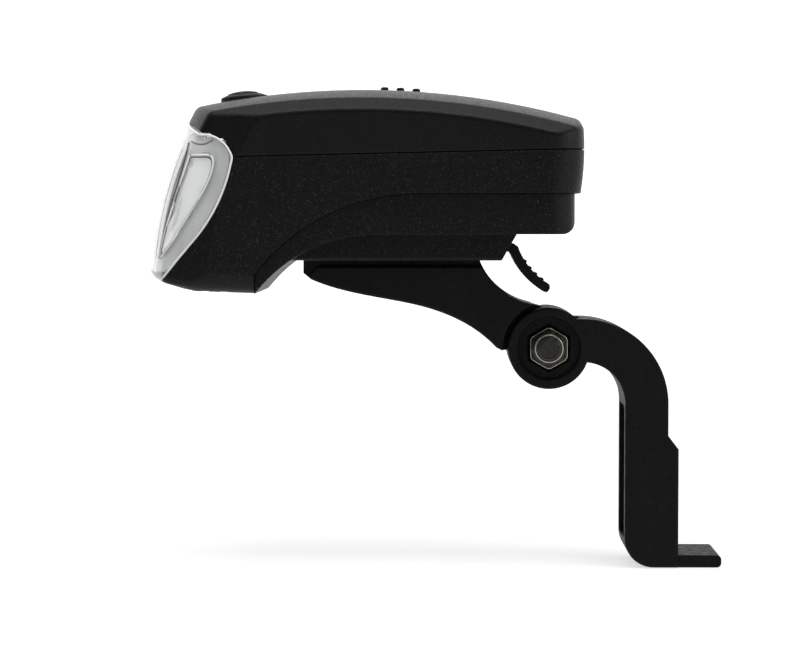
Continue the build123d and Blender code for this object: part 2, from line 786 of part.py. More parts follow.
def grip_dots():
    """A short row of round dots along the ridge."""
    row = []
    for i in range(dots):
        x = dot_middle_x + (i - (dots - 1) / 2) * dot_pitch
        top = crown_height(x) + dot_height
        dot = rod_z(x, 0, dot_radius, top - cover_wall, top)
        row.append(fillet(dot.edges().group_by(Axis.Z)[-1], dot_radius / 2))
    return row


def button_dome(rise):
    """A ball whose top stands this far over the crown and leans a little towards the nose."""
    sag = button_rise - button_edge_rise
    radius = (button_radius ** 2 + sag ** 2) / (2 * sag)
    turn = math.asin((button_x - button_lean - crown_x) / crown_radius)
    out = crown_radius + rise - radius
    x, z = crown_x + out * math.sin(turn), crown_top - crown_radius + out * math.cos(turn)
    return Pos(x, 0, z) * Sphere(radius)


def power_button():
    """Rubber cap: a dome in the cover's well with a low disc on it, a skirt under the roof and a stem."""
    top = crown_top + cover_wall
    cap = rod_z(button_x, 0, button_radius, seam_z, top) & button_dome(button_rise)
    cap -= crown_barrel(cover_wall + gap + button_skirt_thick)
    skirt = rod_z(button_x, 0, button_skirt_radius, seam_z, top) & crown_barrel(cover_wall + gap)
    skirt -= crown_barrel(cover_wall + gap + button_skirt_thick)
    disc = rod_z(button_x - button_lean / 2, 0, button_disc_radius, crown_height(button_x) - cover_wall, top)
    disc &= button_dome(button_rise + button_disc_rise)
    stem_low = switch_top() + button_travel + gap
    stem = rod_z(button_x, 0, button_stem_radius, stem_low, crown_height(button_x) - cover_wall)
    return cap + skirt + disc + stem


def lens():
    """Clear shell over the front and its two wings, with a lip that seats inside the body."""
    front = across(front_region(), lamp_width + overrun)
    shell = (outer_form() - lamp_form(lens_wall)) & front
    lip_out = body_wall + gap / 2
    under = across(above_seam(-overrun), lamp_width + overrun)
    tie = (lamp_form(lens_wall - gap) - lamp_form(lip_out + lens_lip_wall)) & front
    tie -= across(Pos(-lens_lip, 0) * front_region(), lamp_width + overrun)
    lip = (lamp_form(lip_out) - lamp_form(lip_out + lens_lip_wall))
    lip &= across(Pos(lens_lip, 0) * front_region(), lamp_width + overrun)
    lip -= across(Pos(-lens_lip, 0) * front_region(), lamp_width + overrun)
    shell += (tie + lip) - under
    corner, right, shoulder, side, tip, left, close = shares_at(
        leaf_shares, lens_back_x, lens_bottom, lens_depth, lens_height)
    outline = Polyline(corner, right, shoulder)
    outline += ThreePointArc(shoulder, side, tip) + ThreePointArc(tip, left, close)
    leaf = across(make_face(outline), lamp_width + overrun)
    return shell - (leaf - lamp_form(leaf_depth))


# Optics

def bowl_solid(apex_x):
    """A solid paraboloid opening towards the nose, its apex cut flat inside the emitter's hole."""
    start = reflector_hole_radius / 2
    rim = 2 * math.sqrt(reflector_focus * (apex_x - lamp_front_x))
    near, far = (start ** 2 / (4 * reflector_focus), start), (rim ** 2 / (4 * reflector_focus), rim)
    # a parabola is a quadratic curve whose middle pole lies where the end tangents meet
    pole = (start * rim / (4 * reflector_focus), (start + rim) / 2)
    curve = Bezier(near, pole, far) + Polyline(far, (far[0], 0), (near[0], 0), near)
    plane = Plane(origin=(apex_x, 0, reflector_z), x_dir=(-1, 0, 0), z_dir=(0, -1, 0))
    return revolve(plane * make_face(curve), Axis((apex_x, 0, reflector_z), (-1, 0, 0)), 360)


def reflector():
    """Bright bowl with a rim that follows the lens and a skirt that lines the lens's wings."""
    side = lens_wall + gap
    set_back = reflector_front_gap - side
    inner_front = Pos(set_back, 0) * front_barrel(side)
    behind = across(Pos(-lens_lip - gap, 0) * front_region(), lamp_width + overrun)
    rim = (lamp_form(side) & inner_front) - Pos(set_back + reflector_wall, 0) * front_barrel(side)
    skirt = (lamp_form(side) - lamp_form(side + reflector_wall)) & inner_front
    solid = (rim + skirt) & behind
    solid += bowl_solid(reflector_apex_x + reflector_wall) & inner_front & lamp_form(side)
    solid -= bowl_solid(reflector_apex_x)
    hole_front, hole_rear = reflector_apex_x - overrun, reflector_apex_x + overrun
    return solid - rod_x(0, reflector_z, reflector_hole_radius, hole_front, hole_rear)


def led_board():
    return rod_x(0, reflector_z, led_board_radius, led_board_x, sink_x)


def led_emitter():
    """Square base with a clear dome."""
    base = led_board_x - led_base_height
    chip = middle_block(base, led_board_x, led_size, reflector_z - led_size / 2, reflector_z + led_size / 2)
    dome = rod_x(0, reflector_z, led_dome_radius, base - led_dome_height, base)
    return chip + fillet(dome.edges().group_by(Axis.X)[0], led_dome_height / 2)


def heat_sink():
    """A plate with upright fins."""
    low, high = reflector_z - sink_height / 2, reflector_z + sink_height / 2
    fin_x = sink_x + sink_base_thick
    solid = middle_block(sink_x, fin_x, sink_width, low, high)
    pitch = (sink_width - fin_thick) / (fins - 1)
    for i in range(fins):
        y = -sink_width / 2 + i * pitch
        solid += block(fin_x, fin_x + fin_length, y, y + fin_thick, low, high)
    return solid


def board_top():
    return seam_z + board_lift + board_thick


def switch_top():
    return board_top() + switch_height + gap


def main_board():
    return middle_block(
        board_front_x, board_front_x + board_length, board_width, seam_z + board_lift, board_top())


def push_switch():
    half = switch_size / 2
    case = block(button_x - half, button_x + half, -half, half, board_top(), board_top() + switch_height)
    return case + rod_z(button_x, 0, switch_plunger_radius, board_top(), switch_top())


# Batteries

def cell(plus_to_nose):
    """One AA cell, with its plus end against a contact plate and a spring behind it."""
    rear, front = cradle_rear_x - cradle_wall - cell_room, cradle_front_x + cradle_wall + cell_room
    side = 1 if plus_to_nose else -1
    end = front if plus_to_nose else rear
    y = side * cell_pitch / 2
    shoulder, tail = end + side * cell_nub_height, end + side * cell_length
    can = rod_x(y, cell_z, cell_radius, min(shoulder, tail), max(shoulder, tail))
    can = fillet(can.edges().filter_by(GeomType.CIRCLE), cell_edge_round)
    return can + rod_x(y, cell_z, cell_nub_radius, min(end, shoulder), max(end, shoulder))


def battery_cradle():
    """Open tray with end walls for the contacts and saddle ribs under the cells."""
    rear, front = cradle_rear_x, cradle_front_x
    floor = cradle_low_z + cradle_floor
    width, half = cradle_width, cradle_width / 2
    solid = middle_block(front, rear, width, cradle_low_z, floor)
    side = block(front, rear, half - cradle_wall, half, cradle_low_z, cradle_low_z + cradle_side_height)
    solid += both_sides(side)
    for x in (front, rear - cradle_wall):
        solid += middle_block(x, x + cradle_wall, width, cradle_low_z, cradle_low_z + cradle_end_height)
    for i in range(saddles):
        x = front + (rear - front) * (i + 1) / (saddles + 1)
        solid += middle_block(x, x + cradle_wall, width, floor, floor + saddle_height)
    wells = rod_x(cell_pitch / 2, cell_z, cell_radius + cell_seat, front + cradle_wall, rear - cradle_wall)
    return solid - both_sides(wells)


def contact_plate(x, y0, y1):
    half = contact_height / 2
    return block(x, x + contact_thick, y0, y1, cell_z - half, cell_z + half)


def front_contacts():
    half = contact_width / 2
    x = cradle_front_x + cradle_wall
    return both_sides(contact_plate(x, cell_pitch / 2 - half, cell_pitch / 2 + half))


def bridge_contact():
    half = (cell_pitch + contact_width) / 2
    return contact_plate(cradle_rear_x - cradle_wall - contact_thick, -half, half)


def contact_springs():
    """A short coil at the minus end of each cell."""
    pitch = (spring_length - spring_wire) / spring_turns
    path = Helix(pitch, spring_length - spring_wire, spring_radius)
    start = Plane(origin=path @ 0, z_dir=path % 0)
    coil = sweep(start * Circle(spring_wire / 2), path=path)
    front = cradle_front_x + cradle_wall + cell_room + spring_wire / 2
    rear = cradle_rear_x - cradle_wall - cell_room - spring_wire / 2
    half = cell_pitch / 2
    near, far = Pos(front, -half, cell_z) * Rot(0, 90, 0), Pos(rear, half, cell_z) * Rot(0, -90, 0)
    return [near * coil, far * coil]


# Release lever

def release_lever():
    """Springy tongue: a bead in the shoe, a latch bar, and a curved finger piece with small ridges."""
    outer = shares_at(lever_outer_shares, bead_x, bead_z, -lever_length, lever_drop)
    tip = shares_at(lever_tip_shares, bead_x, bead_z, -lever_length, lever_drop)
    inner = shares_at(lever_inner_shares, bead_x, bead_z, -lever_length, lever_drop)
    top = outer[0][1]
    curve = Polyline((bead_x, top - lever_thick), (bead_x, top), outer[0], outer[1])
    bend = ThreePointArc(outer[1], outer[2], outer[3])
    curve += bend + ThreePointArc(outer[3], tip[0], tip[1])
    curve += Line(tip[1], inner[0]) + ThreePointArc(inner[0], inner[1], inner[2])
    curve += Polyline(inner[2], inner[3], (bead_x, top - lever_thick))
    half = lever_width / 2
    solid = across(make_face(curve), lever_width) + rod_y(bead_x, bead_z, lever_bead_radius, -half, half)
    for i in range(lever_ridges):
        spot = bend @ (1 - (i + 1) / (lever_ridges + 2))
        solid += rod_y(spot.X, spot.Y, lever_ridge_radius, -half, half)
    latch_x = bead_x + latch_setback
    front, rear = latch_x - latch_length / 2, latch_x + latch_length / 2
    return solid + middle_block(front, rear, latch_width, slot_top_z, slot_top_z + latch_height)


pieces = {
    "fork_bracket": fork_bracket,
    "pivot_bolt": pivot_bolt,
    "pivot_nut": pivot_nut,
    "nut_nylon_ring": nut_nylon_ring,
    "holder_arm": holder_arm,
    "housing_body": housing_body,
    "bottom_tray": bottom_tray,
    "tray_screws": tray_screws,
    "battery_cover": battery_cover,
    "power_button": power_button,
    "release_lever": release_lever,
    "lens": lens,
    "reflector": reflector,
    "led_board": led_board,
    "led_emitter": led_emitter,
    "heat_sink": heat_sink,
    "main_board": main_board,
    "push_switch": push_switch,
    "battery_cradle": battery_cradle,
    "front_cell": lambda: cell(True),
    "rear_cell": lambda: cell(False),
    "front_contacts": front_contacts,
    "bridge_contact": bridge_contact,
    "contact_springs": contact_springs,
}

os.makedirs("parts", exist_ok=True)
for name, build in pieces.items():
    shape = build()
    if isinstance(shape, list):
        shape = Compound(children=shape)
    export_step(shape, f"parts/{name}.step")
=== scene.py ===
"""Looks of the bike headlight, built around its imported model."""

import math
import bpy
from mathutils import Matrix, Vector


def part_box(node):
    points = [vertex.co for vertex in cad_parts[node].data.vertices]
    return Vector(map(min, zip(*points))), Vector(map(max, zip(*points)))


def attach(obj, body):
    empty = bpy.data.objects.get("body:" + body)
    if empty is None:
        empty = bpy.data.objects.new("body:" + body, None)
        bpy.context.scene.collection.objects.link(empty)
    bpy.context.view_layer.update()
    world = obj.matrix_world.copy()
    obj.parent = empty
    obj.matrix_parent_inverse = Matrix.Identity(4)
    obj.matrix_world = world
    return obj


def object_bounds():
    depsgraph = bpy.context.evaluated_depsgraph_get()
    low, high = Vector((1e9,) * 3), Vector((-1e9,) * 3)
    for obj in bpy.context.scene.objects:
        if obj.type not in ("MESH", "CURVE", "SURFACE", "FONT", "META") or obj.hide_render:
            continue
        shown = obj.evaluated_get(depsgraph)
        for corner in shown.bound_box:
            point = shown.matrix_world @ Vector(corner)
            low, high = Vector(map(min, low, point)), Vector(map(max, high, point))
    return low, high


bl_info = {
    "name": "Bike Headlight",
    "version": (1, 0, 0),
    "blender": (4, 5, 0),
    "location": "3D View > Sidebar > Headlight",
    "description": "Finishes and small parts of a bike headlight on a fork crown bracket",
    "category": "Object",
}

import bmesh
import bpy
from bpy.props import FloatProperty, FloatVectorProperty, IntProperty, PointerProperty
from mathutils import Vector
from mathutils.bvhtree import BVHTree

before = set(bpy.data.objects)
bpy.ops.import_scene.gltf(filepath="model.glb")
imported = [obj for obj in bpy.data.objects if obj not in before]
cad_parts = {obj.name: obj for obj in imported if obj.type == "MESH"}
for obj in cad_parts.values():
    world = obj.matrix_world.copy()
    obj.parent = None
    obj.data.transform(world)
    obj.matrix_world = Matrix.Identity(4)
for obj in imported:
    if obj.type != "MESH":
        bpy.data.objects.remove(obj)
cad_low, cad_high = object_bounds()

MM = 0.001

# Outlines seen from the side, in millimetres of X and Z. The edge is the S-shaped back edge of a wing.
EDGE_TOP, EDGE_KNEE, EDGE_BEND, EDGE_BACK = (-108.6, 82.5), (-104.7, 80.0), (-99.7, 78.4), (-97.6, 75.0)
EDGE_MIDDLE, EDGE_LOW, EDGE_BOTTOM = (-100.7, 65.2), (-106.8, 56.3), (-113.4, 48.4)
EDGE_BROW, EDGE_FOOT = (-106.6, 81.1), (-110.1, 52.4)
# the bead along the S-shaped edge is a painted highlight
EDGE_SHIFT = (-0.15, -0.1)  # from these points to the middle of the bead that covers the seam
CORNER_TOP, CORNER_FOOT = (-106.9, 81.0), (-114.9, 49.0)
# a streak of painted shade along the lens's front corner, where the gap behind the lens shows dark; the wing
# liners start from this line
CORNER_SHADE_LINE = (
    (-107.5, 78.2), (-108.1, 75.0), (-109.6, 69.8), (-111.5, 63.8), (-113.1, 57.9), (-114.1, 53.2),
)
# a thin line of painted shade inside the lens along the reflector's top
REFLECTOR_SHADE_LINE = ((-107.0, 78.6), (-105.4, 77.9), (-103.6, 77.9), (-102.0, 78.7))
LEAF = (
    (-106.9, 75.4), (-104.8, 75.5), (-102.6, 75.4), (-101.9, 74.4), (-102.1, 72.4), (-103.1, 69.6),
    (-104.9, 66.2), (-107.5, 62.1), (-110.7, 57.2), (-113.8, 53.3), (-112.9, 58.0), (-111.0, 64.0),
    (-109.0, 70.0), (-107.6, 74.0),
)

# Places on the lens, in millimetres.
BROW_PLACES = (-19, -14, -7, 0, 7, 14, 19)
FLUTE_HEIGHTS = (77, 72, 67, 62, 57, 53)
LINER_LOW, LINER_HIGH, LINER_GAP = 50.2, 80.2, 0.35

# Places on the lens, in metres.
FLUTE_PLACES = (0.0178, 0.0163, 0.0142)
LINER_DEPTH = 0.0019  # how far a wing's liner lies under the lens's outer face
PANE_LIFT = 0.00003

# Where search rays start, in metres, and how far beside a gap they look, in millimetres.
RAY_AHEAD, RAY_ASIDE = 0.05, 0.1
BESIDE_GAP = 0.4

# The stage, in metres. A softbox has its place, what it faces, its width and height, and its power's name.
CAMERA_PLACE, CAMERA_AIM = (-0.0527, -0.540, 0.0628), (-0.0619, 0, 0.0369)
SENSOR_WIDTH = 36  # millimetres, like the focal length
SOFTBOXES = {
    "top_softbox": ((-0.06, -0.10, 0.50), (-0.06, 0, 0.05), 0.46, 0.30, "top_light"),
    "rear_softbox": ((0.38, -0.14, 0.22), (-0.04, 0, 0.06), 0.22, 0.22, "rim_light"),
    "strip_softbox": ((0.36, -0.36, 0.10), (-0.03, 0, 0.06), 0.05, 0.30, "strip_light"),
    "front_softbox": ((-0.30, -0.48, 0.20), (-0.08, 0, 0.05), 0.26, 0.26, "fill_light"),
}


class HeadlightFinish(bpy.types.PropertyGroup):
    """Colours and grain of the finishes."""

    housing_colour: FloatVectorProperty(
        name="Housing", description="Textured black plastic of the body and tray", subtype="COLOR",
        default=(0.0024, 0.0026, 0.0026), min=0, max=1)
    cover_colour: FloatVectorProperty(
        name="Cover", description="Satin black plastic of the sliding cover", subtype="COLOR",
        default=(0.0020, 0.0022, 0.0022), min=0, max=1)
    bracket_colour: FloatVectorProperty(
        name="Bracket", description="Smooth black plastic of the bracket and the arm", subtype="COLOR",
        default=(0.0024, 0.0026, 0.0025), min=0, max=1)
    rubber_colour: FloatVectorProperty(
        name="Rubber", description="Soft black of the button and the grip dots", subtype="COLOR",
        default=(0.0100, 0.0100, 0.0102), min=0, max=1)
    steel_colour: FloatVectorProperty(
        name="Steel", description="Plated steel of the bolt and nut", subtype="COLOR",
        default=(0.042, 0.040, 0.035), min=0, max=1)
    lens_colour: FloatVectorProperty(
        name="Lens", description="Tint of the clear lens", subtype="COLOR",
        default=(0.95, 0.97, 0.96), min=0, max=1)
    lens_clearness: FloatProperty(
        name="Lens clearness", description="Share of light that passes straight through the lens",
        default=0.86, min=0, max=1, subtype="FACTOR")
    grain: FloatProperty(
        name="Grain", description="Size of the spark texture's dimples", subtype="DISTANCE", unit="LENGTH",
        default=0.00032, min=0.00005, max=0.002)
    grain_depth: FloatProperty(
        name="Grain depth", description="Depth of the spark texture's dimples", subtype="DISTANCE",
        unit="LENGTH", default=0.00003, min=0, max=0.0005)


class HeadlightTrim(bpy.types.PropertyGroup):
    """Sizes of the small parts that the frame leaves out."""

    # the rim bead is a painted highlight along the lens's edge
    rim_bead: FloatProperty(
        name="Rim bead", description="Radius of the bright bead along the lens's edge", subtype="DISTANCE",
        unit="LENGTH", default=0.00026, min=0.00005, max=0.001)
    # the leaf line is a painted highlight on the window's moulded edge, with a line of painted shade just
    # inside it
    leaf_bead: FloatProperty(
        name="Leaf bead", description="Radius of the moulded line round each leaf window",
        subtype="DISTANCE", unit="LENGTH", default=0.00022, min=0.00005, max=0.001)
    thread_pitch: FloatProperty(
        name="Thread pitch", description="Pitch of the bolt's thread", subtype="DISTANCE", unit="LENGTH",
        default=0.0008, min=0.0002, max=0.002)
    bead_sides: IntProperty(
        name="Bead sides", description="Sides of the round beads", default=8, min=4, max=24)


class HeadlightStage(bpy.types.PropertyGroup):
    """Camera and light."""

    focal_length: FloatProperty(
        name="Focal length", description="Focal length of the camera, in millimetres",
        default=108.0, min=10, max=500)
    top_light: FloatProperty(
        name="Top light", description="Power of the softbox above", unit="POWER", default=1.3, min=0, max=50)
    rim_light: FloatProperty(
        name="Rear light", description="Power of the softbox behind the lamp's rear", unit="POWER",
        default=0.5, min=0, max=50)
    fill_light: FloatProperty(
        name="Fill light", description="Power of the softbox beside the camera", unit="POWER",
        default=0.05, min=0, max=50)
    strip_light: FloatProperty(
        name="Strip light", description="Power of the narrow softbox that draws the rear corner",
        unit="POWER", default=0.12, min=0, max=50)
    room: FloatProperty(
        name="Room", description="Brightness of the room on the camera's side", default=0.75, min=0, max=2)
    dark_card: FloatProperty(
        name="Dark card", description="Brightness of what gloss mirrors from behind the camera",
        default=0.04, min=0, max=1)


# Material helpers

def start_material(name):
    """A new material with an empty principled shader."""
    material = bpy.data.materials.new(name)
    material.use_nodes = True
    tree = material.node_tree
    tree.nodes.clear()
    output = tree.nodes.new("ShaderNodeOutputMaterial")
    shader = tree.nodes.new("ShaderNodeBsdfPrincipled")
    tree.links.new(shader.outputs["BSDF"], output.inputs["Surface"])
    return material, tree, shader


def noise(tree, size, detail=2.0, stretch=(1, 1, 1)):
    """Noise with features of this size in metres, fixed to the object."""
    place = tree.nodes.new("ShaderNodeTexCoord")
    scale = tree.nodes.new("ShaderNodeMapping")
    scale.inputs["Scale"].default_value = stretch
    texture = tree.nodes.new("ShaderNodeTexNoise")
    texture.inputs["Scale"].default_value = 1 / size
    texture.inputs["Detail"].default_value = detail
    tree.links.new(place.outputs["Object"], scale.inputs["Vector"])
    tree.links.new(scale.outputs["Vector"], texture.inputs["Vector"])
    return texture.outputs["Fac"]


def spread(tree, value, low, high, start=0.3, stop=0.7):
    """The value mapped from start..stop to low..high."""
    node = tree.nodes.new("ShaderNodeMapRange")
    node.inputs["From Min"].default_value = start
    node.inputs["From Max"].default_value = stop
    node.inputs["To Min"].default_value = low
    node.inputs["To Max"].default_value = high
    tree.links.new(value, node.inputs["Value"])
    return node.outputs["Result"]


def shade(tree, value, dark, light):
    """A colour between dark and light."""
    node = tree.nodes.new("ShaderNodeMix")
    node.data_type = "RGBA"
    node.inputs["A"].default_value = (*dark, 1)
    node.inputs["B"].default_value = (*light, 1)
    tree.links.new(value, node.inputs["Factor"])
    return node.outputs["Result"]


def blended(tree, value, below, pale):
    """A linked colour that turns to a plain one as the value rises."""
    node = tree.nodes.new("ShaderNodeMix")
    node.data_type = "RGBA"
    tree.links.new(below, node.inputs["A"])
    node.inputs["B"].default_value = (*pale, 1)
    tree.links.new(value, node.inputs["Factor"])
    return node.outputs["Result"]


def clouded(tree, size, detail, dark, light, stretch=(1, 1, 1)):
    """A colour that drifts between dark and light over this size."""
    return shade(tree, spread(tree, noise(tree, size, detail, stretch), 0, 1), dark, light)


def bumps(tree, shader, height, depth):
    """Bumps of this depth on the shader's normal, from a height between 0 and 1."""
    node = tree.nodes.new("ShaderNodeBump")
    node.inputs["Strength"].default_value = 1.0
    node.inputs["Distance"].default_value = depth
    tree.links.new(height, node.inputs["Height"])
    tree.links.new(node.outputs["Normal"], shader.inputs["Normal"])
    return node


def joined(tree, operation, first, second):
    """Two values joined by a math operation."""
    node = tree.nodes.new("ShaderNodeMath")
    node.operation = operation
    tree.links.new(first, node.inputs[0])
    tree.links.new(second, node.inputs[1])
    return node.outputs[0]


def tinted(colour, share):
    """The colour times a share."""
    return tuple(min(1.0, c * share) for c in colour)


def moulded_plastic(name, colour, roughness, grain, depth, gloss=0.5, specks=0.0, edge=0.0):
    """Moulded plastic: spark texture, cloudy shade, pale specks, and edges that are softly rounded."""
    cloud_size, speck_share, spark_share = 0.012, 0.95, 1.6
    material, tree, shader = start_material(name)
    base = clouded(tree, cloud_size, 3.0, tinted(colour, 0.8), tinted(colour, 1.3))
    if specks:
        dots = spread(tree, noise(tree, grain * speck_share, 1.0), 0, 1, start=0.62, stop=0.74)
        base = blended(tree, dots, base, tuple(c + specks for c in colour))
    tree.links.new(base, shader.inputs["Base Color"])
    sparks = noise(tree, grain * spark_share, 1.0)
    tree.links.new(spread(tree, sparks, roughness + 0.08, roughness - 0.10), shader.inputs["Roughness"])
    bump = bumps(tree, shader, noise(tree, grain, 2.0), depth)
    if edge:
        soft = tree.nodes.new("ShaderNodeBevel")
        soft.samples = 6
        soft.inputs["Radius"].default_value = edge
        tree.links.new(soft.outputs["Normal"], bump.inputs["Normal"])
    shader.inputs["Specular IOR Level"].default_value = gloss
    return material


def plated_metal(name, colour, roughness, brush=(1, 1, 1)):
    """Plated metal with fine brushing and darker patches."""
    patch_size, gloss_size, brush_size, brush_depth = 0.0015, 0.0006, 0.00025, 0.000004
    material, tree, shader = start_material(name)
    tree.links.new(clouded(tree, patch_size, 3.0, tinted(colour, 0.75), colour), shader.inputs["Base Color"])
    gloss = spread(tree, noise(tree, gloss_size, 2.0), roughness - 0.07, roughness + 0.1)
    tree.links.new(gloss, shader.inputs["Roughness"])
    bumps(tree, shader, noise(tree, brush_size, 2.0, brush), brush_depth)
    shader.inputs["Metallic"].default_value = 1.0
    return material


def clear_plastic(name, colour, roughness, clearness, ripple=0.006):
    """Moulded clear plastic, with slow ripples in its shade and gloss."""
    gloss_size, wave_size, wave_depth, refraction = 0.0009, 0.003, 0.00001, 1.49
    material, tree, shader = start_material(name)
    base = clouded(tree, ripple, 2.0, tinted(colour, 0.86), tinted(colour, 1.06), stretch=(1, 1, 0.35))
    tree.links.new(base, shader.inputs["Base Color"])
    gloss = spread(tree, noise(tree, gloss_size, 2.0), roughness, roughness + 0.05)
    tree.links.new(gloss, shader.inputs["Roughness"])
    bumps(tree, shader, noise(tree, wave_size, 1.0), wave_depth)
    shader.inputs["Transmission Weight"].default_value = clearness
    shader.inputs["IOR"].default_value = refraction
    return material


def mirror_coat(name, colour):
    """Vacuum-metallised plastic."""
    cloud_size, gloss_size, wave_size, wave_depth = 0.008, 0.002, 0.0015, 0.000006
    material, tree, shader = start_material(name)
    tree.links.new(clouded(tree, cloud_size, 2.0, tinted(colour, 0.95), colour), shader.inputs["Base Color"])
    tree.links.new(spread(tree, noise(tree, gloss_size, 2.0), 0.10, 0.2), shader.inputs["Roughness"])
    bumps(tree, shader, noise(tree, wave_size, 1.0), wave_depth)
    shader.inputs["Metallic"].default_value = 1.0
    return material


def dress(node, material):
    """Gives a CAD node its material."""
    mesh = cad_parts[node].data
    mesh.materials.clear()
    mesh.materials.append(material)


# Mesh helpers

def surface_tree(node):
    """Search tree of a CAD node's surface."""
    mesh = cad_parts[node].data
    return BVHTree.FromPolygons([v.co.copy() for v in mesh.vertices], [p.vertices[:] for p in mesh.polygons])


def on_side(outline, trees, side, lift):
    """Points of a side outline laid on the outer surface of one side, raised by lift."""
    points = []
    for x, z in outline:
        # a point over the gap between two parts takes its depth from beside the gap
        for aside in (0, -BESIDE_GAP, BESIDE_GAP):
            start = Vector(((x + aside) * MM, side * RAY_ASIDE, z * MM))
            hits = [tree.ray_cast(start, Vector((0, -side, 0))) for tree in trees]
            depths = [hit[0].y * side for hit in hits if hit[0] is not None]
            if depths:
                break
        else:
            raise RuntimeError(f"nothing under the outline at {x}, {z}")
        points.append(Vector((x * MM, side * (max(depths) + lift), z * MM)))
    return points


def evened(points):
    """The points with no single one standing out sideways from its neighbours."""
    for _ in range(3):
        middles = [sorted(p.y for p in points[i - 1:i + 2])[1] for i in range(1, len(points) - 1)]
        for point, middle in zip(points[1:-1], middles):
            point.y = middle
    return points


def arc_through(a, b, c, steps=8):
    """Points of the arc from a to c through b."""
    (ax, az), (bx, bz), (cx, cz) = a, b, c
    d = 2 * (ax * (bz - cz) + bx * (cz - az) + cx * (az - bz))
    sa, sb, sc = ax * ax + az * az, bx * bx + bz * bz, cx * cx + cz * cz
    x = (sa * (bz - cz) + sb * (cz - az) + sc * (az - bz)) / d
    z = (sa * (cx - bx) + sb * (ax - cx) + sc * (bx - ax)) / d
    radius, start = math.dist((x, z), a), math.atan2(az - z, ax - x)
    whole = (math.atan2(cz - z, cx - x) - start) % (2 * math.pi)
    part = (math.atan2(bz - z, bx - x) - start) % (2 * math.pi)
    if part > whole:
        whole -= 2 * math.pi
    turns = [start + whole * i / steps for i in range(steps + 1)]
    return [(x + radius * math.cos(turn), z + radius * math.sin(turn)) for turn in turns]


def on_front(heights, y, tree, lift):
    """Points down the front of a part, this far from its middle plane."""
    points = []
    for z in heights:
        spot = tree.ray_cast(Vector((cad_low.x - RAY_AHEAD, y, z * MM)), Vector((1, 0, 0)))[0]
        if spot is None:
            raise RuntimeError(f"nothing behind the front line at {y}, {z}")
        points.append(spot - Vector((lift, 0, 0)))
    return points


def smoothed(points, closed, steps=5):
    """More points along a smooth line through the given ones."""
    line, count = [], len(points)
    points = [Vector(p) for p in points]
    spans = count if closed else count - 1
    for i in range(spans):
        def at(k):
            return points[k % count] if closed else points[min(max(k, 0), count - 1)]
        a, b, c, d = at(i - 1), at(i), at(i + 1), at(i + 2)
        for s in range(steps):
            t = s / steps
            line.append(0.5 * ((2 * b) + (c - a) * t + (2 * a - 5 * b + 4 * c - d) * t * t
                               + (3 * b - a - 3 * c + d) * t ** 3))
    if not closed:
        line.append(points[-1].copy())
    return line


def shrunk(outline, share):
    """A flat outline drawn in towards its middle."""
    middle = sum(outline, Vector((0, 0))) / len(outline)
    return [middle + (point - middle) * share for point in outline]


def ring(name, middle, radius, bead, sides, steps=40):
    """A round bead in a circle about an axis along Y."""
    points = [middle + Vector((radius * math.cos(turn), 0, radius * math.sin(turn)))
              for turn in (2 * math.pi * i / steps for i in range(steps))]
    return tube(name, points, bead, True, sides)


def tube(name, points, radius, closed, sides):
    """A round bead along points."""
    curve = bpy.data.curves.new(name, "CURVE")
    curve.dimensions = "3D"
    curve.bevel_depth = radius
    curve.bevel_resolution = max(0, sides // 2 - 2)
    curve.use_fill_caps = not closed
    spline = curve.splines.new("POLY")
    spline.points.add(len(points) - 1)
    for spot, p in zip(spline.points, points):
        spot.co = (*p, 1)
    spline.use_cyclic_u = closed
    carrier = bpy.data.objects.new(name + "_line", curve)
    bpy.context.scene.collection.objects.link(carrier)
    bpy.context.view_layer.update()
    mesh = bpy.data.meshes.new_from_object(carrier)
    bpy.data.objects.remove(carrier)
    bpy.data.curves.remove(curve)
    mesh.name = name
    return add_piece(name, smooth_faced(mesh))


def sheet(name, points, faces):
    """A smooth sheet through points."""
    mesh = bpy.data.meshes.new(name)
    mesh.from_pydata(points, [], faces)
    return add_piece(name, smooth_faced(mesh))


def smooth_faced(mesh):
    """The mesh with smooth shading."""
    for polygon in mesh.polygons:
        polygon.use_smooth = True
    return mesh


def add_piece(name, mesh):
    """A new object for a mesh."""
    piece = bpy.data.objects.new(name, mesh)
    bpy.context.scene.collection.objects.link(piece)
    return piece


def chamfered_block(name, middle, size, chamfer):
    """A small moulded block with chamfered edges."""
    shape = bmesh.new()
    bmesh.ops.create_cube(shape, size=1)
    for vertex in shape.verts:
        vertex.co = Vector(middle) + Vector([c * s for c, s in zip(vertex.co, size)])
    bmesh.ops.bevel(shape, geom=shape.edges[:], offset=chamfer, segments=2, affect="EDGES", profile=0.6)
    mesh = bpy.data.meshes.new(name)
    shape.to_mesh(mesh)
    shape.free()
    return add_piece(name, mesh)


def settle(piece, body, material):
    """The piece rides on a body and takes its material."""
    piece.data.materials.clear()
    piece.data.materials.append(material)
    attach(piece, body)


# Operators

